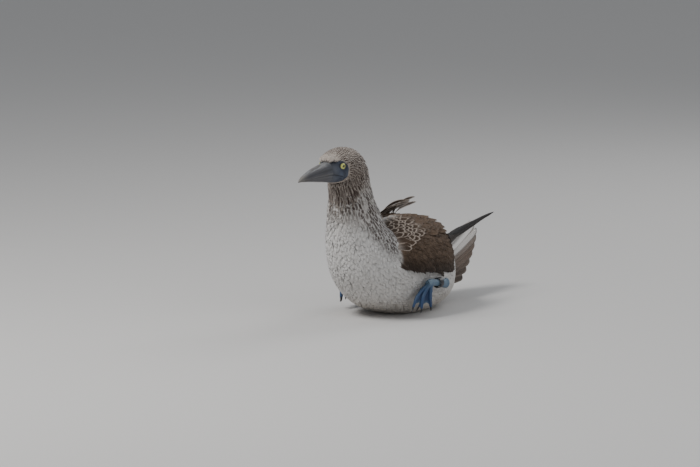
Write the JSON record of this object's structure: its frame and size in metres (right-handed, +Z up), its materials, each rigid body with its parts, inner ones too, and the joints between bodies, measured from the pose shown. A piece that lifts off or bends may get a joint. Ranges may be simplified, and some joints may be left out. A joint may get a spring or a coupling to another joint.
{
  "type": "blue footed booby",
  "caption": "Seabird at life size, resting on its belly with its head up, wings folded and webbed blue feet drawn up at its sides.",
  "frame": {"origin": "on the floor, under the middle of the belly", "axes": "+Z up, +Y towards the tail with the bill at -Y, +X to the bird's left"},
  "size_m": [0.2, 0.628, 0.3104],
  "materials": {
    "white_feathers": "soft white breast and belly feathers",
    "streaked_feathers": "pale feathers with dark brown streaks",
    "brown_feathers": "smooth brown wing and back feathers",
    "dark_feathers": "blackish brown flight and tail feathers",
    "bill": "grey blue horn, slightly glossy on the ridge",
    "eye": "wet glossy eye, pale yellow iris round a black pupil",
    "foot_skin": "scaly blue skin of legs, toes and webs",
    "claw": "dark horn",
    "ring": "plain dark leg ring"
  },
  "bodies": {
    "root": {"torso": "white_feathers", "neck": "streaked_feathers", "head": "streaked_feathers", "bill_upper": "bill", "bill_lower": "bill", "eye_left": "eye", "eye_right": "eye", "wing_left": "brown_feathers", "wing_right": "brown_feathers", "scapulars_left": "brown_feathers", "scapulars_right": "brown_feathers", "hand_left": "dark_feathers", "hand_right": "dark_feathers", "tail_left": "dark_feathers", "tail_right": "dark_feathers", "thigh_left": "white_feathers", "thigh_right": "white_feathers", "tarsus_left": "foot_skin", "tarsus_right": "foot_skin", "foot_left": "foot_skin", "foot_right": "foot_skin", "claw_1_left": "claw", "claw_2_left": "claw", "claw_3_left": "claw", "claw_4_left": "claw", "claw_1_right": "claw", "claw_2_right": "claw", "claw_3_right": "claw", "claw_4_right": "claw", "leg_ring": "ring"}
  },
  "joints": []
}
